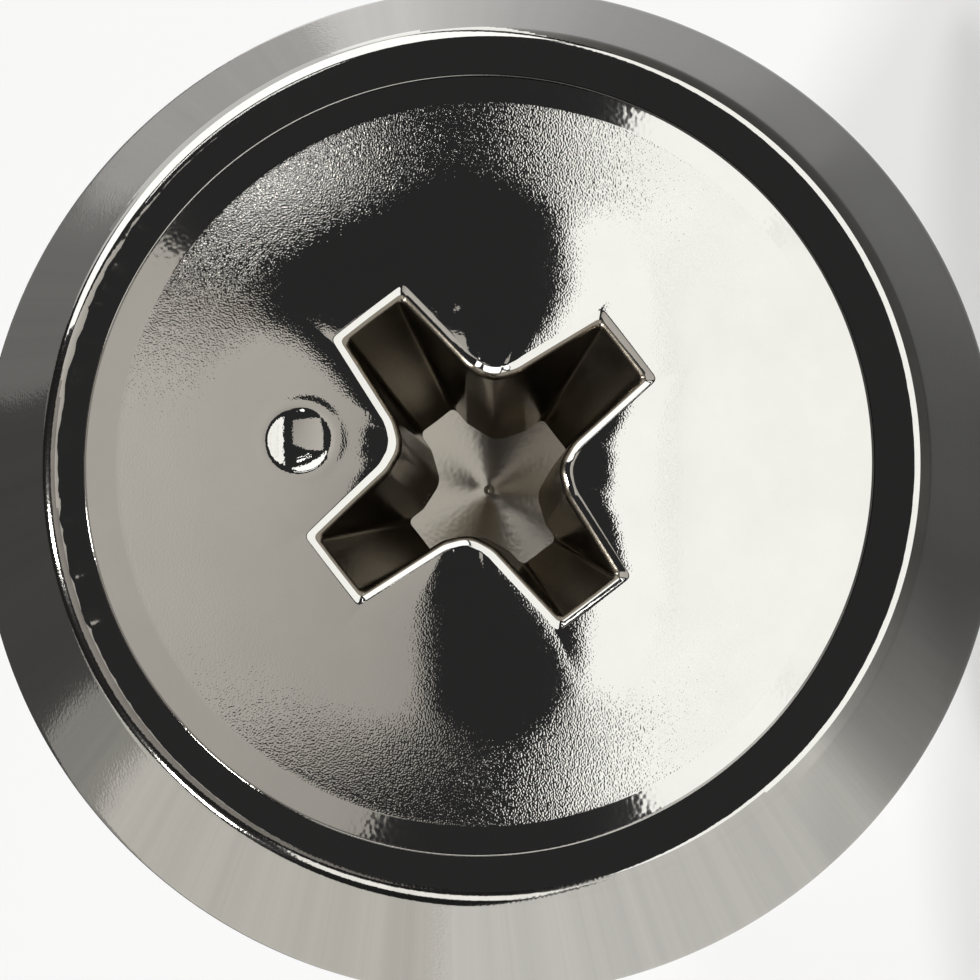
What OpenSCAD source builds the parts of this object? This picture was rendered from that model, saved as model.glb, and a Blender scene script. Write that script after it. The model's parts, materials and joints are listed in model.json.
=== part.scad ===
// Machine screw with a wide, taper-sided head, a low domed crown and a cross recess.
// The screw is one solid. It lies as it comes to rest, on the edge of its bearing face
// and on the edge of its tip: the head faces -Y and a little up, and the tip points to +Y.
// Heights inside the head are counted from the bearing face, upwards to the crown.

/* [Head] */
// Diameter of the flat bearing face under the head
bearing_d = 13; // [11.5:0.1:16]
// Height of the rim crest above the bearing face
rim_h = 2.25; // [1.4:0.05:3.2]
// Angle between the tapered side and the screw's axis
side_taper = 23.5; // [15:0.1:32]
// Radius of the rounding at the outer edge of the bearing face
edge_round = 0.1; // [0.05:0.01:0.25]
// Radius of the rounded crest that runs round the rim
rim_round = 0.25; // [0.15:0.01:0.35]
// Depth of the flat land below the crest of the rim
land_drop = 0.01; // [0.01:0.01:0.1]
// Width of the flat land between the rim's crest and the crown
land_w = 0.31; // [0.15:0.01:0.6]

/* [Crown] */
// Width of the plain brim round the foot of the dome
brim_w = 0.37; // [0.2:0.01:0.6]
// Height of the brim's rounded outer edge above the land
brim_step = 0.06; // [0.03:0.01:0.15]
// Slope of the brim from level
brim_slope = 9; // [2:0.5:16]
// Radius of the sphere that the dome is part of
dome_r = 16.3; // [10:0.1:30]

/* [Cross recess] */
// Width over two opposite wings at the mouth
recess_m = 4.7; // [4.2:0.05:5.4]
// Width of a wing at its end, without the flare of the mouth
wing_tip_w = 0.88; // [0.7:0.02:1]
// Angle by which each wall of a wing closes in towards the wing's end
wing_taper = 5; // [2:0.5:6]
// Distance from the axis to the nose between two wings, without the flare of the mouth
nose_r = 0.98; // [0.94:0.01:1.1]
// Angle between the two flat facets that meet in the ridge of a nose
nose_angle = 136; // [126:1:146]
// Depth from the mouth's plane to the lowest point of the floor
recess_depth = 2.76; // [1.8:0.02:3.1]
// Slope of the wing ends from the screw's axis
wing_end_slope = 26.5; // [20:0.5:30]
// Draft of the wing walls
wall_draft = 6.5; // [2:0.5:8]
// Draft of the facets and of the ridge between them
nose_draft = 7.5; // [2:0.5:8]
// Slope of the conical floor from level
floor_slope = 18; // [6:1:30]
// Depth of the flare at the mouth, below the mouth's plane
flare_depth = 0.15; // [0.08:0.01:0.2]
// Slope of the flare at the wing ends, from the screw's axis
flare_end_slope = 45; // [36:1:50]
// Slope of the flare along the walls and facets, from the screw's axis
flare_wall_slope = 35; // [20:1:40]
// Turn of the first wing, counter-clockwise from +X as seen from the front of the head
recess_turn = 37.4; // [0:0.2:90]

/* [Recess mark] */
// Diameter of the round dimple beside the recess
dimple_d = 0.88; // [0.5:0.02:1.1]
// Depth of the dimple below the dome
dimple_depth = 0.09; // [0.04:0.01:0.2]
// Distance from the screw's axis to the middle of the dimple
dimple_radius = 2.28; // [1.9:0.02:3.4]
// Turn of the dimple, counted as the recess is
dimple_turn = 84; // [0:1:360]

/* [Shank] */
// Diameter over the thread crests
shank_d = 5; // [4:0.1:6]
// Length from the bearing face to the tip
shank_l = 16; // [8:0.5:40]
// Height and width of the chamfer at the tip
tip_chamfer = 0.5; // [0.2:0.05:1]
// Radius of the fillet between the shank and the bearing face
neck_fillet = 0.25; // [0.1:0.05:0.5]

/* [Hidden] */
$fn = 96;
// Excess with which a cutting shape passes the surface that it cuts
over = 1;
// Depth to which a straight flank cuts into the rounded edge that it runs into
flank_bite = 0.002;
// Length by which the brim runs on under the dome
brim_lap = 0.05;

// Head section: centres of the edge rounding and of the rim's rounding, and the levels above them
edge_x = bearing_d / 2 - edge_round;
bead_z = rim_h - rim_round;
bead_x = edge_x - (bead_z - edge_round) * tan(side_taper)
    - (rim_round - edge_round) / cos(side_taper);
land_z = rim_h - land_drop;
land_edge_r = bead_x - sqrt(rim_round * rim_round - (land_z - bead_z) * (land_z - bead_z));
crown_foot_r = land_edge_r - land_w;
brim_round_x = crown_foot_r - brim_step;
dome_edge_r = crown_foot_r - brim_w;
dome_edge_z = land_z + brim_step + (brim_round_x - dome_edge_r) * tan(brim_slope);
dome_centre_z = dome_edge_z - sqrt(dome_r * dome_r - dome_edge_r * dome_edge_r);
crown_z = dome_centre_z + dome_r;

// Recess: plane of the mouth at the wing ends, and the faces of the bare and flared shapes there
mouth_z = dome_centre_z + sqrt(dome_r * dome_r - recess_m * recess_m / 4);
pip_z = mouth_z - recess_depth;
facet_turn = 90 - nose_angle / 2;
bare_half_l = recess_m / 2 - flare_depth * (tan(flare_end_slope) - tan(wing_end_slope));
bare_wall = wing_tip_w / 2 * cos(wing_taper) + bare_half_l * sin(wing_taper);
bare_facet = nose_r * sin(nose_angle / 2);
flare_wall = bare_wall + flare_depth * (tan(flare_wall_slope) - tan(wall_draft));
flare_facet = bare_facet + flare_depth * (tan(flare_wall_slope) - tan(nose_draft));

// Dimple: sphere that meets the dome in a circle of the dimple's diameter
dimple_sag = dimple_depth - (dome_r - sqrt(dome_r * dome_r - dimple_d * dimple_d / 4));
dimple_r = (dimple_d * dimple_d / 4 + dimple_sag * dimple_sag) / (2 * dimple_sag);

// Resting pose: the line that touches the edge of the bearing face and the edge of the tip
tip_edge_z = tip_chamfer - shank_l;
rest_dx = edge_x - shank_d / 2;
rest_dz = edge_round - tip_edge_z;
rest_tilt = atan(rest_dx / rest_dz) + asin(edge_round / norm([rest_dx, rest_dz]));
rest_drop = shank_d / 2 * cos(rest_tilt) - tip_edge_z * sin(rest_tilt);
front_y = -bead_z * cos(rest_tilt) - bead_x * sin(rest_tilt) - rim_round;
back_y = shank_l * cos(rest_tilt) + (shank_d / 2 - tip_chamfer) * sin(rest_tilt);

// Body of the head up to the land, with a straight side between the two rounded edges
module head_body_section() {
    edge_reach = edge_round - flank_bite;
    bead_reach = rim_round - flank_bite;
    polygon([
        [0, 0],
        [edge_x, 0],
        [edge_x + edge_reach * cos(side_taper), edge_round + edge_reach * sin(side_taper)],
        [bead_x + bead_reach * cos(side_taper), bead_z + bead_reach * sin(side_taper)],
        [bead_x, land_z],
        [0, land_z]
    ]);
    translate([edge_x, edge_round])
        circle(r = edge_round);
    translate([bead_x, bead_z])
        circle(r = rim_round);
}

// Brim with its rounded outer edge, and the dome that rises from it
module crown_section() {
    polygon([
        [0, 0],
        [brim_round_x, 0],
        [brim_round_x, land_z + brim_step - flank_bite],
        [dome_edge_r - brim_lap, dome_edge_z + brim_lap * tan(brim_slope)],
        [0, dome_edge_z]
    ]);
    translate([brim_round_x, land_z])
        circle(r = brim_step);
    intersection() {
        translate([0, dome_centre_z])
            circle(r = dome_r, $fn = 4 * $fn);
        translate([0, land_z])
            square([brim_round_x, dome_r]);
    }
}

// Shank at the crest diameter, with a chamfered tip and a fillet under the head
module shank_section() {
    shank_r = shank_d / 2;
    polygon([
        [0, 0],
        [0, -shank_l],
        [shank_r - tip_chamfer, -shank_l],
        [shank_r, tip_edge_z],
        [shank_r, 0]
    ]);
    difference() {
        translate([0, -neck_fillet])
            square([shank_r + neck_fillet, 2 * neck_fillet]);
        translate([shank_r + neck_fillet, -neck_fillet])
            circle(r = neck_fillet);
    }
}

// Slab between two opposite wing ends, which lean outwards as they rise
module between_ends(half_l, slope, drop) {
    lean = tan(slope);
    top = mouth_z + over;
    rotate([90, 0, 0])
        linear_extrude(height = 2 * recess_m, center = true)
            polygon([
                [half_l - lean * drop, mouth_z - drop],
                [half_l + lean * over, top],
                [-half_l - lean * over, top],
                [-half_l + lean * drop, mouth_z - drop]
            ]);
}

// All that lies behind one flat face of the recess, which leans outwards as it rises
module behind_face(turn, distance, slope) {
    reach = 2 * recess_m;
    rotate([0, 0, turn])
        translate([distance, 0, mouth_z])
            rotate([0, slope, 0])
                translate([0, -reach / 2, -reach / 2])
                    cube(reach);
}

// Metal between two wings: one wall of each wing, and the two facets of the nose
module nose(wall, wall_slope, facet, facet_slope) {
    intersection() {
        behind_face(wing_taper, wall, wall_slope);
        behind_face(45 - facet_turn, facet, facet_slope);
        behind_face(45 + facet_turn, facet, facet_slope);
        behind_face(90 - wing_taper, wall, wall_slope);
    }
}

// Cross of four wings with four noses between them
module cross(half_l, end_slope, wall, wall_slope, facet, facet_slope, drop) {
    difference() {
        intersection() {
            between_ends(half_l, end_slope, drop);
            rotate([0, 0, 90])
                between_ends(half_l, end_slope, drop);
        }
        for (turn = [0 : 90 : 270])
            rotate([0, 0, turn])
                nose(wall, wall_slope, facet, facet_slope);
    }
}

// Room above the conical floor
module above_floor() {
    rim_r = recess_m;
    rotate_extrude()
        polygon([
            [0, pip_z],
            [rim_r, pip_z + rim_r * tan(floor_slope)],
            [rim_r, crown_z + 2 * over],
            [0, crown_z + 2 * over]
        ]);
}

// Cross recess: the drafted cross down to the floor, and the flare round its mouth
module cross_recess() {
    rotate([0, 0, recess_turn]) {
        intersection() {
            cross(bare_half_l, wing_end_slope, bare_wall, wall_draft, bare_facet, nose_draft,
                recess_depth);
            above_floor();
        }
        cross(recess_m / 2, flare_end_slope, flare_wall, flare_wall_slope, flare_facet,
            flare_wall_slope, 2 * flare_depth);
    }
}

// Round dimple pressed square into the dome
module dimple() {
    rotate([0, 0, dimple_turn])
        translate([0, 0, dome_centre_z])
            rotate([0, asin(dimple_radius / dome_r), 0])
                translate([0, 0, dome_r - dimple_depth + dimple_r])
                    sphere(r = dimple_r);
}

// The whole screw, first upright on its axis and then laid down
module screw() {
    color([0.66, 0.65, 0.62])
        translate([0, -(front_y + back_y) / 2, rest_drop])
            rotate([90 - rest_tilt, 0, 0])
                difference() {
                    rotate_extrude() {
                        head_body_section();
                        crown_section();
                        shank_section();
                    }
                    cross_recess();
                    dimple();
                }
}

screw();
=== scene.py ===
import json
import math

import bpy
import numpy as np
from mathutils import Matrix, Vector


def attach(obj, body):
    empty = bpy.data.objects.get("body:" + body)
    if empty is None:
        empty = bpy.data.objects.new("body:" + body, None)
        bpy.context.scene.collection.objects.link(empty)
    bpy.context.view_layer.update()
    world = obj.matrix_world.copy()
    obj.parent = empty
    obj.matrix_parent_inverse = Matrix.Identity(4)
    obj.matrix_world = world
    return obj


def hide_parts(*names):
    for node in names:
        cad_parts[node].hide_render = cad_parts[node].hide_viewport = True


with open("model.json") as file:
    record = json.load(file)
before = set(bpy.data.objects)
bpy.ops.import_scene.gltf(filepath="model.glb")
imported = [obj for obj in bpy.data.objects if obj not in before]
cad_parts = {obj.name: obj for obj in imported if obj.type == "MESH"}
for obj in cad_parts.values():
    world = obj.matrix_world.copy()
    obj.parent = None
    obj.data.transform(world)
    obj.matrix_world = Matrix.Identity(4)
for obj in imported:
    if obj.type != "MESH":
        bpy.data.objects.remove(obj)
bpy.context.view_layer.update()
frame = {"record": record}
MM = 0.001

# Sizes in millimetres and angles in degrees. Most are the same as in the part's source. The
# land, the brim's edge and the dimple follow the photo a little more closely than they do there.
# Heights are counted along the screw's axis from the bearing face, upwards to the crown, and
# turns counter-clockwise from +X, as seen from the front of the head.
EDGE_X, EDGE_ROUND = 6.4, 0.1
RIM_H, RIM_ROUND, SIDE_TAPER = 2.25, 0.25, 23.5
LAND_DROP, LAND_W = 0.001, 0.385
BRIM_W, BRIM_STEP, BRIM_SLOPE = 0.37, 0.022, 9
# The crown's foot and the rim's crest aren't quite concentric: their shifts towards the head's Y
CROWN_SHIFT, CREST_SHIFT = 0.05, -0.038
DOME_R = 16.3
RECESS_M, WING_TIP_W, WING_TAPER = 4.7, 0.88, 5
NOSE_R, NOSE_ANGLE = 0.98, 136
RECESS_DEPTH, WING_END_SLOPE, WALL_DRAFT, NOSE_DRAFT, FLOOR_SLOPE = 2.76, 26.5, 6.5, 7.5, 18
FLARE_DEPTH, RECESS_TURN = 0.15, 37.4
DIMPLE_D, DIMPLE_DEPTH, DIMPLE_RADIUS, DIMPLE_TURN = 0.88, 0.095, 2.29, 84
SHANK_R, SHANK_L, TIP_CHAMFER, NECK_FILLET = 2.5, 16, 0.5, 0.25
PITCH, THREAD_DEPTH = 0.8, 0.49


def sin(degrees):
    return math.sin(math.radians(degrees))


def cos(degrees):
    return math.cos(math.radians(degrees))


def tan(degrees):
    return math.tan(math.radians(degrees))


BEAD_Z = RIM_H - RIM_ROUND
BEAD_X = (
    EDGE_X
    - (BEAD_Z - EDGE_ROUND) * tan(SIDE_TAPER)
    - (RIM_ROUND - EDGE_ROUND) / cos(SIDE_TAPER)
)
LAND_Z = RIM_H - LAND_DROP
LAND_EDGE_R = BEAD_X - math.sqrt(RIM_ROUND**2 - (LAND_Z - BEAD_Z) ** 2)
CROWN_FOOT_R = LAND_EDGE_R - LAND_W
BRIM_ROUND_X = CROWN_FOOT_R - BRIM_STEP
DOME_EDGE_R = CROWN_FOOT_R - BRIM_W
DOME_EDGE_Z = LAND_Z + BRIM_STEP + (BRIM_ROUND_X - DOME_EDGE_R) * tan(BRIM_SLOPE)
DOME_CENTRE_Z = DOME_EDGE_Z - math.sqrt(DOME_R**2 - DOME_EDGE_R**2)
MOUTH_Z = DOME_CENTRE_Z + math.sqrt(DOME_R**2 - RECESS_M**2 / 4)
PIP_Z = MOUTH_Z - RECESS_DEPTH
# Distances from the axis, at the mouth's plane, to a wing's end, to a wall and to a facet
HALF_L = RECESS_M / 2 - FLARE_DEPTH * (1 - tan(WING_END_SLOPE))
WALL = WING_TIP_W / 2 * cos(WING_TAPER) + HALF_L * sin(WING_TAPER)
FACET = NOSE_R * sin(NOSE_ANGLE / 2)
JUNCTION_TURN = NOSE_ANGLE / 2 - 45 - WING_TAPER

# Radii of the recess's corners: at the throat just under the mouth, round the mouth, and deeper
# down, from the given depth below the throat
THROAT_RADII = {"tip": 0.07, "junction": 0.5, "ridge": 0.7}
MOUTH_RADII = {"tip": 0.07, "junction": 0.5, "ridge": 0.6}
DEEP_RADII = {"tip": 0.08, "junction": 0.15, "ridge": 0.3}
RADII_FADE = 0.35
# Share of a side of a corner that its rounding may take up
ROOM_SHARE = 0.48
# Depth and width of the rounding round the mouth, and its rings from the throat to the dome: how
# far out each one lies, as a share of the width, and how deep, as a share of the depth. The first
# rings take the walls' darker plate, painted shade that keeps the mouth's bright line narrow.
THROAT_DROP, MOUTH_ROUND = 0.13, 0.155
MOUTH_PROFILE = (
    (0.04, 0.88),
    (0.14, 0.66),
    (0.28, 0.46),
    (0.45, 0.3),
    (0.66, 0.17),
    (0.84, 0.07),
    (0.93, 0.02),
    (1.0, 0.0),
)
PAINTED_SHADE_MOUTH_RINGS = 4
# Metal that the punch drew in beside the mouth: its slope at the mouth, how far out it reaches,
# and its spread to both sides of a nose, in points of the ring
DRAW_SLOPE, DRAW_REACH, NOSE_SPREAD = 0.1, 1.15, 34
# Small pip in the recess's floor: its depth, the radius at which the plain floor begins, and the
# radius and the drop of each ring between
PIP_DEPTH, PIP_R = 0.08, 0.1
PIP_RINGS = ((0.04, 0.06), (0.055, 0.01), (0.07, -0.01), (0.095, -0.006))

# Bowl of the dimple, as a share of the dimple's radius, and the height, place and width of the
# soft lip round it. The place is a share of the bowl's radius.
BOWL_SHARE = 0.95
DIMPLE_LIP_RISE, DIMPLE_LIP_PLACE, DIMPLE_LIP_W = 0.006, 1.15, 0.08
# Small dent in the dome beyond the nose towards +X, with an uneven bottom
DENT_X, DENT_Y, DENT_R, DENT_DEPTH, DENT_RIPPLE = 1.8, 0.33, 0.13, 0.008, 0.8

# Ragged lip inside the rim's crest: height and width, the turn of its middle and its half-width,
# and the share of it that is left on the other side
LIP_HEIGHT, LIP_W, LIP_TURN, LIP_SPREAD, LIP_ELSEWHERE = 0.009, 0.05, 88, 34, 0.12
# The rim's rounding takes the bright plate above this share of its radius above its centre, and
# the darker side plate below it, as painted shade. The bright part reaches further down on one
# side and less far on another: shares, middles and half-widths.
BRIGHT_FROM = 0.93
BROAD_SHARE, BROAD_TURN, BROAD_SPREAD = 1.2, 33, 36
NARROW_SHARE, NARROW_TURN, NARROW_SPREAD = 0.06, 135, 70
# Painted shade on the side plate: patches darker by turn round the screw, which stand in for the
# darker surroundings that it would mirror. Share of the tone that they lose, turn and half-width
PAINTED_SHADE_PATCHES = ((0.9, -57, 62), (0.5, -112, 16))

# Points in a ring, and in an eighth of the recess's outline. The eighth runs from the middle of
# a wing's end to the ridge of a nose, and the other numbers are the points at which its stretches
# begin: the round tip, the wall, the round junction, the facet and the round ridge.
N = 480
OCTANT = N // 8
TIP_FROM, WALL_FROM, JUNCTION_FROM, FACET_FROM, RIDGE_FROM = 10, 18, 36, 42, 52
# Rings on the floor, the walls and the dome, and how much closer they lie at the mouth
FLOOR_ROWS, WALL_ROWS, DOME_ROWS = 11, 16, 64
WALL_EASE, DOME_EASE = 1.35, 1.25
# Places of the rings on the brim and on the tapered side, as shares of their widths
BRIM_ROWS = (0.04, 0.4, 0.75, 0.91)
SIDE_ROWS = (0.01, 0.07, 0.35, 0.65, 0.96)
# Steps in the rounding of the crest, and in each smaller rounding
CREST_STEPS, ROUND_STEPS = 14, 6
# Narrow rings beside the crown's foot, the crest and the edge of the bearing face, which keep
# the flat parts flat under smooth shading, and the last two rings of the bearing face
FOOT_GAP, CREST_GAP, FACE_GAP = 0.01, 0.012, 0.1
FACE_INNER_R, NECK_RING_R = 3.3, 3.0

# Points round the shank, and the rows of a pitch of the thread as shares of it. The crest runs
# from 0 to CREST_END, and the root from ROOT_FROM to ROOT_END.
SHANK_POINTS = 96
THREAD_ROWS = (0, 0.125, 0.243, 0.361, 0.479, 0.534, 0.59, 0.646, 0.764, 0.882)
CREST_END, ROOT_FROM, ROOT_END = 0.125, 0.479, 0.646
# Height at which the thread starts to sink in, the length of its run-out, and the least distance
# of its rows from the tip and the neck
THREAD_TOP, RUN_OUT, ROW_GAP = -0.8, 0.9, 0.012
# Edges that turn by more than this stay sharp
SHARP_ANGLE = 32

POINT_TURNS = RECESS_TURN + (np.arange(N) + 0.5) * 360 / N
AROUND = np.column_stack([np.cos(np.radians(POINT_TURNS)), np.sin(np.radians(POINT_TURNS))])

# Place of the screw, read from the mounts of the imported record
mounts = {m["name"]: m for m in frame["record"]["mounts"]}
AXIS = Vector(mounts["recess"]["axis"]).normalized()
ON_AXIS = Vector(mounts["recess"]["pos_m"])
ON_FACE = Vector(mounts["bearing_face"]["pos_m"])
FOOT = ON_AXIS - AXIS * (ON_AXIS - ON_FACE).dot(AXIS)
ACROSS = Vector((1, 0, 0))
UPWARD = AXIS.cross(ACROSS)
HEAD = np.array([ACROSS, UPWARD, AXIS])


def smooth(t):
    t = np.clip(t, 0, 1)
    return t * t * (3 - 2 * t)


def hill(turn, middle, spread, power):
    """1 at the middle turn, and falling to 0 beyond the spread on both sides of it."""
    away = (turn - middle + 180) % 360 - 180
    return np.exp(-((away / spread) ** power))


def dome_z(r):
    return DOME_CENTRE_Z + np.sqrt(DOME_R**2 - np.asarray(r) ** 2)


def floor_z(r):
    return PIP_Z + r * tan(FLOOR_SLOPE)


def line_cross(n1, c1, n2, c2):
    """Where the line n1.p = c1 meets the line n2.p = c2."""
    d = n1[0] * n2[1] - n1[1] * n2[0]
    return np.stack([(c1 * n2[1] - n1[1] * c2) / d, (n1[0] * c2 - c1 * n2[0]) / d], -1)


def unit(v):
    return v / np.linalg.norm(v, axis=-1, keepdims=True)


def outline_corners(z, out):
    """Corners of an eighth of the recess's outline, at heights z from the mouth's plane: middle
    of a wing's end, corner of the wing, junction of wall and facet, and ridge of the nose."""
    half_l = HALF_L + z * tan(WING_END_SLOPE) + out
    wall = WALL + z * tan(WALL_DRAFT) + out
    facet = FACET + z * tan(NOSE_DRAFT) + out
    wall_n = (sin(WING_TAPER), cos(WING_TAPER))
    facet_turn = 135 - NOSE_ANGLE / 2
    facet_n = (cos(facet_turn), sin(facet_turn))
    start = np.stack([half_l, np.zeros(N)], -1)
    tip = np.stack([half_l, (wall - wall_n[0] * half_l) / wall_n[1]], -1)
    joint = line_cross(wall_n, wall, facet_n, facet)
    nose = facet / sin(NOSE_ANGLE / 2) * math.sqrt(0.5)
    return start, tip, joint, np.stack([nose, nose], -1)


def round_reach(radius, turn, side_a, side_b):
    """How far a round corner reaches along both its sides, in a column."""
    room = np.minimum(np.linalg.norm(side_a, axis=1), np.linalg.norm(side_b, axis=1))
    return np.minimum(radius * np.ones(N) * tan(turn / 2), ROOM_SHARE * room)[:, None]


def corner(a, b, c, reach, t):
    """Point t of the round corner at b, between the sides from a and to c."""
    p, q = b + unit(a - b) * reach, b + unit(c - b) * reach
    return (1 - t) ** 2 * p + 2 * t * (1 - t) * b + t * t * q


def cross_outline(z, radii, out=0.0):
    """Points of the recess's outline, or of one that lies further out all round.
    z and the radii may differ from point to point."""
    k = np.arange(N)
    i = k % (2 * OCTANT)
    t = np.where(i < OCTANT, i + 0.5, 2 * OCTANT - i - 0.5)[:, None]
    start, tip, joint, ridge = outline_corners(np.broadcast_to(z, (N,)) - MOUTH_Z, out)
    beyond = joint[:, ::-1]
    along_wall, along_facet = unit(joint - tip), unit(ridge - joint)
    r_tip = round_reach(radii["tip"], 90 + WING_TAPER, tip - start, joint - tip)
    r_joint = round_reach(radii["junction"], JUNCTION_TURN, joint - tip, ridge - joint)
    r_ridge = round_reach(radii["ridge"], 180 - NOSE_ANGLE, ridge - joint, ridge - joint)
    straights = (
        (0, TIP_FROM, start, tip - unit(tip - start) * r_tip),
        (WALL_FROM, JUNCTION_FROM, tip + along_wall * r_tip, joint - along_wall * r_joint),
        (FACET_FROM, RIDGE_FROM, joint + along_facet * r_joint, ridge - along_facet * r_ridge),
    )
    rounds = (
        (TIP_FROM, WALL_FROM, (start, tip, joint), r_tip, 1),
        (JUNCTION_FROM, FACET_FROM, (tip, joint, ridge), r_joint, 1),
        (RIDGE_FROM, OCTANT, (joint, ridge, beyond), r_ridge, 0.5),
    )
    p = np.zeros((N, 2))
    for first, end, a, b in straights:
        share = (t - first) / (end - first)
        p = np.where((t >= first) & (t < end), a + (b - a) * share, p)
    for first, end, corners, reach, part in rounds:
        share = (t - first) / (end - first) * part
        p = np.where((t >= first) & (t < end), corner(*corners, reach, share), p)
    mirrored = i >= OCTANT
    p[mirrored] = p[mirrored][:, ::-1]
    turn = np.radians(RECESS_TURN + 90 * (k // (2 * OCTANT)))
    c, s = np.cos(turn), np.sin(turn)
    return np.stack([p[:, 0] * c - p[:, 1] * s, p[:, 0] * s + p[:, 1] * c], -1)


def radii_at(depth):
    """Corner radii at each point's depth below the throat."""
    f = smooth(np.asarray(depth) / RADII_FADE)
    return {n: THROAT_RADII[n] + (DEEP_RADII[n] - THROAT_RADII[n]) * f for n in THROAT_RADII}


def solve_level(start, radii, level):
    """Heights at which the outline meets the surface that level(radius) gives."""
    rounds = 12
    z = np.full(N, start)
    for _ in range(rounds):
        z = level(np.linalg.norm(cross_outline(z, radii), axis=1))
    return z


def xyz(p, z):
    return np.column_stack([p, np.broadcast_to(z, (len(p),))])


def draw_in(dist):
    """How deep the punch drew the metal in beside the noses, by the distance from the mouth."""
    i = np.arange(N) % (2 * OCTANT)
    nose = np.exp(-(((i + 0.5 - OCTANT) / NOSE_SPREAD) ** 2))
    left = np.clip(1 - np.asarray(dist) / DRAW_REACH, 0, 2)
    return DRAW_SLOPE * DRAW_REACH / 3 * nose * left**3


def dimple_sag(x, y):
    """Depth of the round dimple with its soft lip, and of the small dent."""
    away = np.hypot(x - DIMPLE_RADIUS * cos(DIMPLE_TURN), y - DIMPLE_RADIUS * sin(DIMPLE_TURN))
    bowl_r = DIMPLE_D / 2 * BOWL_SHARE
    bowl = DIMPLE_DEPTH * np.where(away < bowl_r, 1 - (away / bowl_r) ** 2, 0)
    lip_r = bowl_r * DIMPLE_LIP_PLACE
    lip = DIMPLE_LIP_RISE * np.exp(-(((away - lip_r) / DIMPLE_LIP_W) ** 2))
    u, v = (x - DENT_X) / DENT_R, (y - DENT_Y) / DENT_R
    dent = DENT_DEPTH * np.exp(-(u**2) - v**2) * (1 + DENT_RIPPLE * np.sin(3 * u + 2 * v))
    return bowl - lip + dent


# Finishes, in the order of the screw's material slots
DOME, PLAIN, WALLS, FLOOR, SIDE = range(5)


class Skin:
    """Collects rings of points and the faces between them."""

    def __init__(self):
        self.points, self.faces, self.finish, self.count = [], [], [], 0

    def add(self, pts):
        first = self.count
        self.points.append(np.asarray(pts, float))
        self.count += len(pts)
        return np.arange(first, self.count)

    def face(self, ids, finish):
        """A face, without its repeated points. One with fewer than three is left out."""
        ids = [int(v) for n, v in enumerate(ids) if v != ids[n - 1]]
        if len(set(ids)) > 2:
            self.faces.append(ids)
            self.finish.append(finish)

    def band(self, last, pts, finish):
        """A new ring of points, and the quads to it from the last ring, with one finish or one
        for each quad. Gives the new ring."""
        ring = self.add(pts)
        corners = zip(last, ring, np.roll(ring, -1), np.roll(last, -1))
        for quad, look in zip(corners, np.broadcast_to(finish, len(ring))):
            self.face(quad, int(look))
        return ring


def build_recess_floor(skin, foot):
    """The floor of the recess, from its pip out to the foot of the walls."""
    angle = np.arctan2(foot[:, 1], foot[:, 0])
    around = np.column_stack([np.cos(angle), np.sin(angle)])
    ring = np.full(N, skin.add([[0, 0, floor_z(0) - PIP_DEPTH]])[0])
    for r, drop in PIP_RINGS:
        ring = skin.band(ring, xyz(around * r, floor_z(r) - drop), FLOOR)
    for n in range(1, FLOOR_ROWS + 1):
        s = n / FLOOR_ROWS
        p = around * PIP_R * (1 - s) + foot * s
        ring = skin.band(ring, xyz(p, floor_z(np.linalg.norm(p, axis=1))), FLOOR)
    return ring


def build_recess(skin):
    """The whole recess up to its mouth. Gives the mouth's ring and outline."""
    z_top = solve_level(
        MOUTH_Z - THROAT_DROP,
        THROAT_RADII,
        lambda r: dome_z(r) - THROAT_DROP - draw_in(-MOUTH_ROUND),
    )
    z_low = solve_level(PIP_Z, DEEP_RADII, floor_z)
    ring = build_recess_floor(skin, cross_outline(z_low, DEEP_RADII))
    for n in range(1, WALL_ROWS + 1):
        s = 1 - (1 - n / WALL_ROWS) ** WALL_EASE
        z = z_low + (z_top - z_low) * s
        ring = skin.band(ring, xyz(cross_outline(z, radii_at(z_top - z)), z), WALLS)
    for n, (out, drop) in enumerate(MOUTH_PROFILE):
        outline = cross_outline(z_top, MOUTH_RADII, MOUTH_ROUND * out)
        z = dome_z(np.linalg.norm(outline, axis=1)) - THROAT_DROP * drop
        z = z - draw_in(-MOUTH_ROUND * (1 - out))
        # The first rings take the wall plate: painted shade on the mouth's rounding
        ring = skin.band(ring, xyz(outline, z), WALLS if n < PAINTED_SHADE_MOUTH_RINGS else PLAIN)
    return ring, outline


def build_dome(skin, ring, mouth):
    """The dome from the mouth out to its round edge."""
    edge = AROUND * DOME_EDGE_R
    span = np.linalg.norm(edge - mouth, axis=1)
    for n in range(1, DOME_ROWS + 1):
        s = (n / DOME_ROWS) ** DOME_EASE
        p = mouth * (1 - s) + edge * s
        z = dome_z(np.linalg.norm(p, axis=1)) - draw_in(span * s) - dimple_sag(p[:, 0], p[:, 1])
        ring = skin.band(ring, xyz(p, z), DOME)
    return ring


def arc(cx, cz, r, a0, a1, steps):
    a = np.radians(np.linspace(a0, a1, steps + 1))
    return [(cx + r * math.cos(v), cz + r * math.sin(v)) for v in a]


def rim_lip():
    """Height of the ragged lip inside the rim's crest, at each point of its ring."""
    ragged = np.random.default_rng(7).uniform(-1, 1, N) * LIP_HEIGHT
    return ragged * (LIP_ELSEWHERE + hill(POINT_TURNS, LIP_TURN, LIP_SPREAD, 4))


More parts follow.
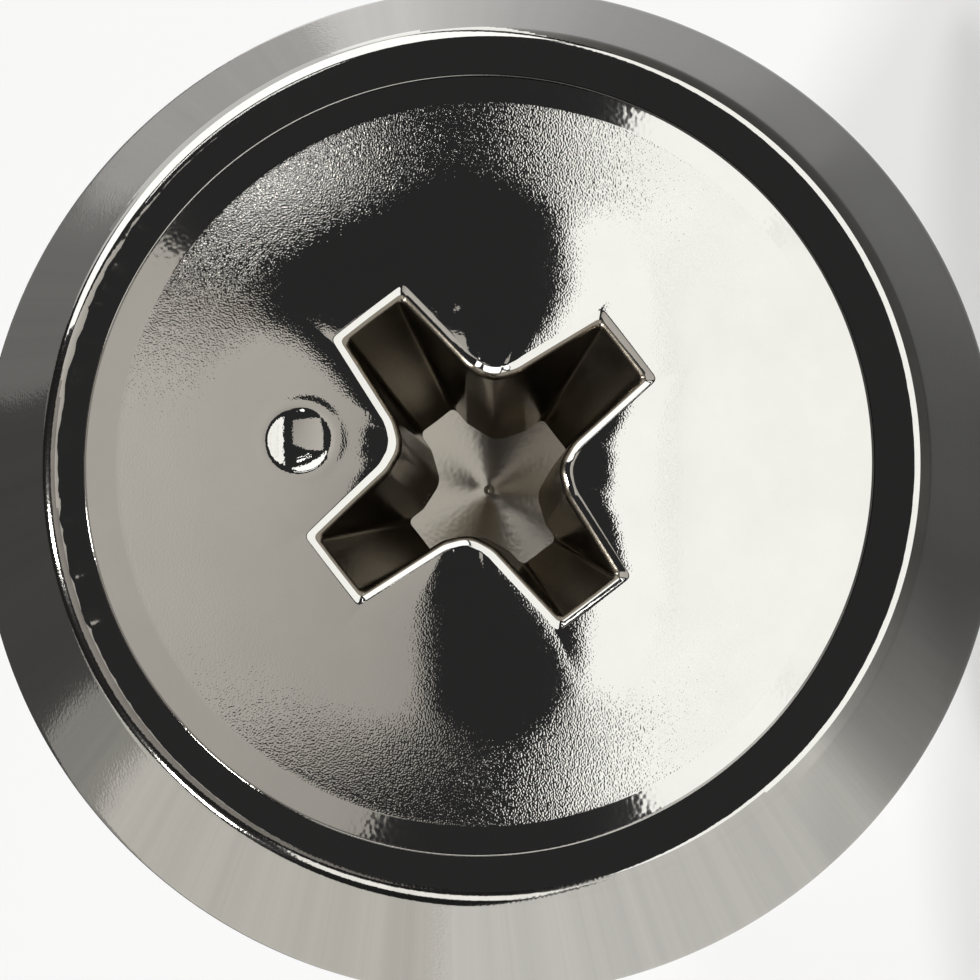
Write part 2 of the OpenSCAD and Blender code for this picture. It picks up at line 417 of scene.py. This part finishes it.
def head_profile():
    """Radius and height of each ring from the brim to the inner part of the bearing face."""
    brim = [DOME_EDGE_R + BRIM_W * f for f in BRIM_ROWS]
    points = [(r, DOME_EDGE_Z - (r - DOME_EDGE_R) * tan(BRIM_SLOPE)) for r in brim]
    points += arc(BRIM_ROUND_X, LAND_Z, BRIM_STEP, 90 - BRIM_SLOPE, 0, ROUND_STEPS)
    land = (CROWN_FOOT_R + FOOT_GAP, CROWN_FOOT_R + LAND_W / 2, LAND_EDGE_R - CREST_GAP)
    points += [(r, LAND_Z) for r in land]
    meet = math.degrees(math.asin((LAND_Z - BEAD_Z) / RIM_ROUND))
    points += arc(BEAD_X, BEAD_Z, RIM_ROUND, 180 - meet, SIDE_TAPER, CREST_STEPS)
    edge = arc(EDGE_X, EDGE_ROUND, EDGE_ROUND, SIDE_TAPER, -90, ROUND_STEPS)
    top, low = points[-1], edge[0]
    points += [(top[0] + (low[0] - top[0]) * f, top[1] + (low[1] - top[1]) * f) for f in SIDE_ROWS]
    return points + edge + [(EDGE_X - FACE_GAP, 0), (FACE_INNER_R, 0)]


def ring_shift(r, z):
    """How far a ring of the head lies off the axis, towards the head's Y."""
    low = 2 * EDGE_ROUND
    if z < low:
        return 0
    if r < CROWN_FOOT_R + LAND_W / 4:
        return CROWN_SHIFT * min((r - DOME_EDGE_R) / BRIM_W, 1)
    return CREST_SHIFT * min((z - low) / (BEAD_Z - low), 1)


def build_head_side(skin, ring):
    """Brim, land, rim, tapered side and bearing face, as rings round the axis. The crown's foot
    and the lower part of the rim's rounding take the side's darker plate, painted shade like the
    side's own."""
    lip = rim_lip()
    broad = BROAD_SHARE * hill(POINT_TURNS, BROAD_TURN, BROAD_SPREAD, 6)
    narrow = NARROW_SHARE * hill(POINT_TURNS, NARROW_TURN, NARROW_SPREAD, 4)
    bright_from = BEAD_Z + RIM_ROUND * (BRIGHT_FROM - broad + narrow)
    for r, z in head_profile():
        # The darker side plate is painted shade: on the side and the lower rim it stands in for
        # darker surroundings mirrored there, and at the crown's foot for shade along the step.
        if r > BEAD_X:
            look = np.where(z < bright_from, SIDE, PLAIN)
        else:
            look = SIDE if BRIM_ROUND_X < r < CROWN_FOOT_R + 2 * FOOT_GAP else PLAIN
        lip_share = math.exp(-(((r - LAND_EDGE_R) / LIP_W) ** 2))
        points = xyz(AROUND * r + (0, ring_shift(r, z)), z + lip * lip_share)
        ring = skin.band(ring, points, look)
    return ring


def build_neck(skin, last):
    """Inner part of the bearing face, with fewer points a ring, and the fillet at the neck."""
    step = N // SHANK_POINTS
    around = AROUND[::step]
    ring = skin.add(xyz(around * NECK_RING_R, 0))
    for k in range(SHANK_POINTS):
        outer = [last[(k * step + n) % N] for n in range(step, -1, -1)]
        skin.face([ring[k], ring[(k + 1) % SHANK_POINTS]] + outer, PLAIN)
    for r, z in arc(SHANK_R + NECK_FILLET, -NECK_FILLET, NECK_FILLET, 90, 180, ROUND_STEPS):
        ring = skin.band(ring, xyz(around * r, z), PLAIN)
    return ring


def thread_radius(phase, z):
    """Radius of the threaded shank at a share of the pitch and a height."""
    depth = np.interp(phase, (0, CREST_END, ROOT_FROM, ROOT_END, 1), (0, 0, 1, 1, 0))
    radius = SHANK_R - THREAD_DEPTH * depth * smooth((THREAD_TOP - z) / RUN_OUT)
    return min(radius, SHANK_R - TIP_CHAMFER + z + SHANK_L)


def build_thread(skin, neck):
    """Right-hand helical thread and flat tip. The thread's rows climb by a pitch in each turn,
    and those past the tip or the neck fall together on the ring there."""
    around = AROUND[:: N // SHANK_POINTS]
    tip = skin.add(xyz(around * (SHANK_R - TIP_CHAMFER), -SHANK_L))
    rows = len(THREAD_ROWS)
    bottom = -SHANK_L - PITCH
    pitches = int((-NECK_FILLET - bottom) / PITCH) + 2
    grid, points = {}, []
    for j in range(SHANK_POINTS):
        for m in range(pitches * rows):
            phase = THREAD_ROWS[m % rows]
            z = bottom + PITCH * (m // rows + phase + j / SHANK_POINTS)
            if z <= -SHANK_L + ROW_GAP:
                grid[j, m] = tip[j]
            elif z >= -NECK_FILLET - ROW_GAP:
                grid[j, m] = neck[j]
            else:
                r = thread_radius(phase, z)
                grid[j, m] = skin.count + len(points)
                points.append((around[j][0] * r, around[j][1] * r, z))
    skin.add(points)
    for j in range(SHANK_POINTS):
        for m in range(pitches * rows - 1):
            if j < SHANK_POINTS - 1:
                right, above = grid[j + 1, m], grid[j + 1, m + 1]
            else:
                right = grid.get((0, m + rows), neck[0])
                above = grid.get((0, m + rows + 1), neck[0])
            skin.face((grid[j, m + 1], grid[j, m], right, above), PLAIN)
    skin.face(tip[::-1], PLAIN)


def tone_left_by_painted_shade(x, y):
    """Share of the side plate's full tone that its painted shade leaves at each point."""
    turn = np.degrees(np.arctan2(y, x))
    kept = np.ones(len(x))
    for share, middle, spread in PAINTED_SHADE_PATCHES:
        kept *= 1 - share * hill(turn, middle, spread, 6)
    return kept


def build_screw(materials):
    """The screw as one closed mesh. Two attributes go to its materials: head_mm, the place in
    the head's own frame, and the share of the side plate's tone that its painted shade leaves."""
    skin = Skin()
    ring, mouth = build_recess(skin)
    ring = build_dome(skin, ring, mouth)
    ring = build_head_side(skin, ring)
    build_thread(skin, build_neck(skin, ring))
    head = np.concatenate(skin.points)
    placed = head @ HEAD * MM + np.array(FOOT)
    used = sorted({v for f in skin.faces for v in f})
    index = {v: n for n, v in enumerate(used)}
    faces = [[index[v] for v in f] for f in skin.faces]
    mesh = bpy.data.meshes.new("screw_body")
    mesh.from_pydata(placed[used].tolist(), [], faces)
    mesh.update()
    for m in materials:
        mesh.materials.append(m)
    mesh.polygons.foreach_set("material_index", skin.finish)
    spot = mesh.attributes.new("head_mm", "FLOAT_VECTOR", "POINT")
    spot.data.foreach_set("vector", head[used].astype(np.float32).ravel())
    # Share of the side plate's tone left by its painted shade, by turn round the screw
    tone = mesh.attributes.new("tone_left_by_painted_shade", "FLOAT", "POINT")
    tone.data.foreach_set("value", tone_left_by_painted_shade(*head[used, :2].T).astype(np.float32))
    mesh.polygons.foreach_set("use_smooth", [True] * len(mesh.polygons))
    mesh.set_sharp_from_angle(angle=math.radians(SHARP_ANGLE))
    obj = bpy.data.objects.new("screw_body", mesh)
    bpy.context.scene.collection.objects.link(obj)
    return obj


# Radii between which the coarser grain of the dome comes in
RIM_GRAIN_FADE = (3.1, 4.0)
# Scale, detail and roughness of the noise in the tone: lines down the side, and clouds elsewhere
LINE_NOISE, CLOUD_NOISE = (9.0, 5.0, 0.7), (1.1, 5.0, 0.6)
# Darkest and lightest of the clouds, as shares of the colour
CLOUD_TONES = (0.93, 1.05)
# Scale and detail of the noise in the roughness, and its least and most, as shares
ROUGH_NOISE, ROUGH_SHARES = (2.2, 3.0), (0.8, 1.2)


class Graph:
    """Short calls for a material's nodes."""

    def __init__(self, name):
        self.material = bpy.data.materials.new(name)
        self.material.use_nodes = True
        self.tree = self.material.node_tree
        self.shader = self.tree.nodes["Principled BSDF"]

    def link(self, a, b):
        self.tree.links.new(a, b)

    def node(self, kind, values=(), **settings):
        """A new node. Each value is a number or colour for a socket, or another socket."""
        n = self.tree.nodes.new(kind)
        for key, value in settings.items():
            setattr(n, key, value)
        for socket, value in dict(values).items():
            if isinstance(value, bpy.types.NodeSocket):
                self.link(value, n.inputs[socket])
            else:
                n.inputs[socket].default_value = value
        return n

    def vector(self, operation, values, output="Vector"):
        return self.node("ShaderNodeVectorMath", values, operation=operation).outputs[output]

    def math(self, operation, a, b):
        return self.node("ShaderNodeMath", {0: a, 1: b}, operation=operation).outputs["Value"]

    def attribute(self, name, output):
        return self.node("ShaderNodeAttribute", attribute_name=name).outputs[output]

    def flat(self, spot):
        """The place without its height along the screw."""
        return self.vector("MULTIPLY", {0: spot, 1: (1, 1, 0)})

    def around(self, spot):
        """Direction from the screw's axis, the same all the way down the side."""
        return self.vector("NORMALIZE", {0: self.flat(spot)})

    def noise(self, vector, scale, detail, rough=0.5):
        values = {"Vector": vector, "Scale": scale, "Detail": detail, "Roughness": rough}
        return self.node("ShaderNodeTexNoise", values).outputs["Fac"]

    def spread(self, value, low, high):
        values = {"Value": value, "To Min": low, "To Max": high}
        return self.node("ShaderNodeMapRange", values).outputs["Result"]

    def shades(self, factor, color, low, high):
        """The colour, from low to high times its brightness."""
        dark, light = ((*(c * share for c in color), 1) for share in (low, high))
        values = {"Factor": factor, "A": dark, "B": light}
        return self.node("ShaderNodeMix", values, data_type="RGBA").outputs[2]

    def near_rim(self, spot, height):
        """The height, faded out from the dome's edge towards its middle."""
        values = {
            "Value": self.vector("LENGTH", {0: self.flat(spot)}, "Value"),
            "From Min": RIM_GRAIN_FADE[0],
            "From Max": RIM_GRAIN_FADE[1],
        }
        fade = self.node("ShaderNodeMapRange", values, interpolation_type="SMOOTHSTEP")
        return self.math("MULTIPLY", height, fade.outputs["Result"])

    def bump(self, height, distance_mm, under=None):
        values = {"Height": height, "Distance": distance_mm * MM, "Strength": 1.0}
        if under is not None:
            values["Normal"] = under
        return self.node("ShaderNodeBump", values).outputs["Normal"]


def plated(name, color, rough, grain_mm, grain, wave_mm, wave, rim_grain=0.0, streaks=0.0):
    """Bright plate with fine grain and slow waves. Widths and depths are in millimetres.
    rim_grain is the depth of the coarser grain towards the rim, and streaks the share by
    which the tone varies round the screw. With streaks, the plate also takes the painted shade
    that darkens parts of the side."""
    g = Graph(name)
    spot = g.attribute("head_mm", "Vector")
    fine = g.noise(spot, 1 / grain_mm, 0.0)
    slow = g.noise(spot, 1 / wave_mm, 1.0)
    normal = g.bump(fine, grain, g.bump(slow, wave))
    if rim_grain:
        normal = g.bump(g.near_rim(spot, fine), rim_grain, normal)
    g.link(normal, g.shader.inputs["Normal"])
    g.shader.inputs["Metallic"].default_value = 1.0
    if streaks:
        lines = g.noise(g.around(spot), *LINE_NOISE)
        tone = g.shades(lines, color, 1 - streaks, 1 + streaks)
        # Painted shade: the side plate darkens by turn round the screw
        tone = g.vector("SCALE", {0: tone, "Scale": g.attribute("tone_left_by_painted_shade", "Fac")})
    else:
        tone = g.shades(g.noise(spot, *CLOUD_NOISE), color, *CLOUD_TONES)
    g.link(tone, g.shader.inputs["Base Color"])
    low, high = (rough * share for share in ROUGH_SHARES)
    g.link(g.spread(g.noise(spot, *ROUGH_NOISE), low, high), g.shader.inputs["Roughness"])
    return g.material


def paper(name, color, glow):
    """Matt paper. Camera, mirror and transmission rays see it lighter by the share glow."""
    g = Graph(name)
    path = g.node("ShaderNodeLightPath").outputs
    seen = path["Is Camera Ray"]
    for kind in ("Is Glossy Ray", "Is Transmission Ray"):
        seen = g.math("MAXIMUM", seen, path[kind])
    light = g.node("ShaderNodeEmission", {"Color": (1, 1, 1, 1), "Strength": 1.0})
    mix = g.node("ShaderNodeMixShader", {"Fac": g.math("MULTIPLY", seen, glow)})
    g.link(g.shader.outputs["BSDF"], mix.inputs[1])
    g.link(light.outputs["Emission"], mix.inputs[2])
    g.link(mix.outputs["Shader"], g.tree.nodes["Material Output"].inputs["Surface"])
    g.shader.inputs["Base Color"].default_value = (*color, 1)
    g.shader.inputs["Roughness"].default_value = 0.9
    g.shader.inputs["Specular IOR Level"].default_value = 0.0
    return g.material


BRIGHT = (0.93, 0.92, 0.865)
dome_plate = plated(
    "dome_plate", BRIGHT, rough=0.035, grain_mm=0.022, grain=0.00042, wave_mm=0.3, wave=0.0006,
    rim_grain=0.0021,
)
rim_plate = plated(
    "rim_plate", BRIGHT, rough=0.05, grain_mm=0.06, grain=0.0004, wave_mm=0.5, wave=0.0005
)
wall_plate = plated(
    "wall_plate", (0.265, 0.235, 0.19), rough=0.25, grain_mm=0.06, grain=0.001, wave_mm=0.5,
    wave=0.002,
)
floor_plate = plated(
    "floor_plate", (0.42, 0.39, 0.335), rough=0.2, grain_mm=0.06, grain=0.001, wave_mm=0.5,
    wave=0.0012,
)
# Darker than the bright plate, as painted shade that stands in for the darker surroundings the
# side mirrors. Its streaks are tone that varies round the screw.
painted_shade_side_plate = plated(
    "painted_shade_side_plate", (0.5, 0.485, 0.45), rough=0.1, grain_mm=0.04, grain=0.0008, wave_mm=0.7,
    wave=0.001, streaks=0.25,
)
screw = build_screw([dome_plate, rim_plate, wall_plate, floor_plate, painted_shade_side_plate])
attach(screw, "root")
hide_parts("screw")

# Studio. Lamps and cards are placed by azimuth, from -Y towards +X, and elevation, as seen from
# the middle of the bearing face, at this distance in metres.
LAMP_DISTANCE = 0.8
WHITE, WARM, WARMER = (1, 1, 1), (1, 0.985, 0.95), (1, 0.95, 0.9)
FLOOR_HALF = 1.5
# Camera: azimuth, elevation, distance, focal length, the photo's scale, and how far the aim lies
# to the right of and above the middle of the bearing face, in the photo's pixels
CAMERA_AZ, CAMERA_EL, CAMERA_M, CAMERA_LENS = -9.0, 11.95, 0.25, 720
PX_PER_MM, AIM_RIGHT_PX, AIM_UP_PX = 78.4, 0.4, 1.5


def aim(az, el):
    """Unit vector towards an azimuth and an elevation."""
    return Vector((sin(az) * cos(el), -cos(az) * cos(el), sin(el)))


def softbox(name, az, el, radiance, distance=LAMP_DISTANCE):
    """Softbox that fills the given ranges of azimuth and elevation."""
    mid_az, mid_el = sum(az) / 2, sum(el) / 2
    back = aim(mid_az, mid_el)
    width = 2 * distance * tan((az[1] - az[0]) / 2) * cos(mid_el)
    height = 2 * distance * tan((el[1] - el[0]) / 2)
    lamp = bpy.data.lights.new(name, "AREA")
    lamp.shape, lamp.size, lamp.size_y = "RECTANGLE", width, height
    lamp.energy = math.pi * width * height * radiance
    obj = bpy.data.objects.new(name, lamp)
    obj.location = FOOT + back * distance
    obj.rotation_mode = "QUATERNION"
    obj.rotation_quaternion = back.to_track_quat("Z", "Y")
    obj.visible_camera = False
    bpy.context.scene.collection.objects.link(obj)


def card(name, corners, radiance, color=WHITE):
    """Flat glowing card whose corners lie at the given azimuths and elevations, with one
    radiance or one for each corner."""
    rays = [aim(*c) for c in corners]
    mid = sum(rays, Vector()).normalized()
    points = [FOOT + v * (LAMP_DISTANCE / v.dot(mid)) for v in rays]
    mesh = bpy.data.meshes.new(name)
    mesh.from_pydata([tuple(p) for p in points], [], [tuple(range(len(points)))])
    glow = mesh.attributes.new("glow", "FLOAT", "POINT")
    glow.data.foreach_set("value", np.broadcast_to(radiance, len(points)).astype(np.float32))
    g = Graph(name)
    values = {"Color": (*color, 1), "Strength": g.attribute("glow", "Fac")}
    light = g.node("ShaderNodeEmission", values)
    g.link(light.outputs["Emission"], g.tree.nodes["Material Output"].inputs["Surface"])
    mesh.materials.append(g.material)
    obj = bpy.data.objects.new(name, mesh)
    obj.visible_camera = False
    bpy.context.scene.collection.objects.link(obj)


def panel(name, az, el, radiance, color=WHITE):
    """Card between two azimuths and two elevations."""
    corners = ((az[0], el[0]), (az[1], el[0]), (az[1], el[1]), (az[0], el[1]))
    card(name, corners, radiance, color)


def build_lights():
    """Cards that the plate mirrors, round the screw from the front by +X to the back and by -X
    to the front again, and two softboxes that light it and cast its shadow."""
    panel("horizon_strip", (-42, 52), (-0.6, 5.5), 0.97)
    corners = ((-20, 21), (16, 21), (33, 42), (46, 57), (-34, 57))
    card("front_overhead", corners, (0.3, 0.36, 0.46, 0.5, 0.46), WARMER)
    panel("right_slat_a", (39.3, 40.3), (24, 39.5), 2.6)
    panel("right_slat_b", (44, 45.6), (23, 41), 2.8)
    panel("right_side", (55, 122), (3, 60), 1.15)
    panel("right_behind", (122, 151.5), (-0.6, 36), 0.52)
    panel("right_behind_high", (151.5, 163), (2, 46), 0.22)
    panel("behind", (163, 196), (10, 52), 0.085)
    panel("left_behind_high", (-164, -154), (10, 52), 0.4, WARM)
    panel("left_behind", (-154, -110), (-0.6, 50), 0.86, WARM)
    panel("front_left", (-66, -38), (3, 34), 1.6)
    softbox("key", (-91, -75), (44, 56), 38.0)
    softbox("top", (-40, 40), (79, 95), 40.0, distance=0.9)


def build_floor():
    half = FLOOR_HALF
    mesh = bpy.data.meshes.new("floor")
    corners = [(-half, -half, 0), (half, -half, 0), (half, half, 0), (-half, half, 0)]
    mesh.from_pydata(corners, [], [(0, 1, 2, 3)])
    mesh.materials.append(paper("pale_paper", (0.9, 0.9, 0.895), 0.45))
    obj = bpy.data.objects.new("floor", mesh)
    bpy.context.scene.collection.objects.link(obj)


def build_camera():
    """Camera in front of the head, rolled so that +X is up in the picture."""
    back = aim(CAMERA_AZ, CAMERA_EL)
    up = (ACROSS - back * ACROSS.dot(back)).normalized()
    right = up.cross(back)
    cam = bpy.data.cameras.new("camera")
    cam.sensor_width, cam.lens = 36, CAMERA_LENS
    cam.clip_start, cam.clip_end = 0.02, 5
    px = MM / PX_PER_MM
    place = FOOT + right * (AIM_RIGHT_PX * px) + up * (AIM_UP_PX * px) + back * CAMERA_M
    obj = bpy.data.objects.new("camera", cam)
    obj.matrix_world = Matrix((right, up, back)).transposed().to_4x4()
    obj.location = place
    bpy.context.scene.collection.objects.link(obj)
    bpy.context.scene.camera = obj


def build_world():
    world = bpy.data.worlds.new("room")
    world.use_nodes = True
    background = world.node_tree.nodes["Background"].inputs
    background["Color"].default_value = (0.02, 0.02, 0.021, 1)
    background["Strength"].default_value = 1.0
    bpy.context.scene.world = world


build_floor()
build_lights()
build_camera()
build_world()
bpy.context.scene.view_settings.view_transform = "Standard"
